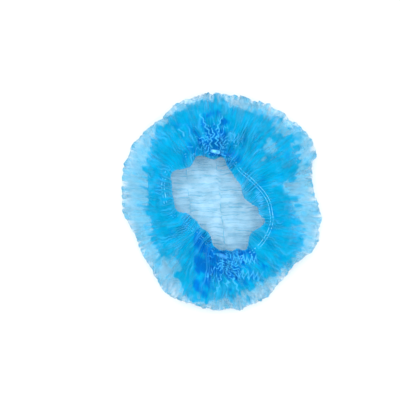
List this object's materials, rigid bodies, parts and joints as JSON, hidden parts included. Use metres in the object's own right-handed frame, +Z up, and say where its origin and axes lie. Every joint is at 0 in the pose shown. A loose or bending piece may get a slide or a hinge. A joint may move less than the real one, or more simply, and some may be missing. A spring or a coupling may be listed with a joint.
{
  "type": "disposable hairnet",
  "caption": "Disposable hair cover of thin pleated nonwoven cloth, puffed open and lying on its crown, with an elastic opening gathered into a welded knot at each end.",
  "frame": {"origin": "on the floor under the middle of the cap's bounding box", "axes": "+Z up out of the opening, X across the opening, +Y towards the back weld, along the cap's longest extent"},
  "size_m": [0.2798, 0.3104, 0.0549],
  "materials": {
    "nonwoven_cloth": "thin blue spunbonded nonwoven, translucent, pressed with a fine grid of bond points",
    "fused_cloth": "the same cloth melted flat, slightly shiny",
    "elastic_thread": "pale blue elastic thread, matte"
  },
  "bodies": {
    "root": {"cap_sheet": "nonwoven_cloth", "welded_bar_back": "fused_cloth", "welded_bar_front": "fused_cloth", "elastic_left_outer": "elastic_thread", "elastic_left_inner": "elastic_thread", "elastic_right_outer": "elastic_thread", "elastic_right_inner": "elastic_thread"}
  },
  "joints": []
}
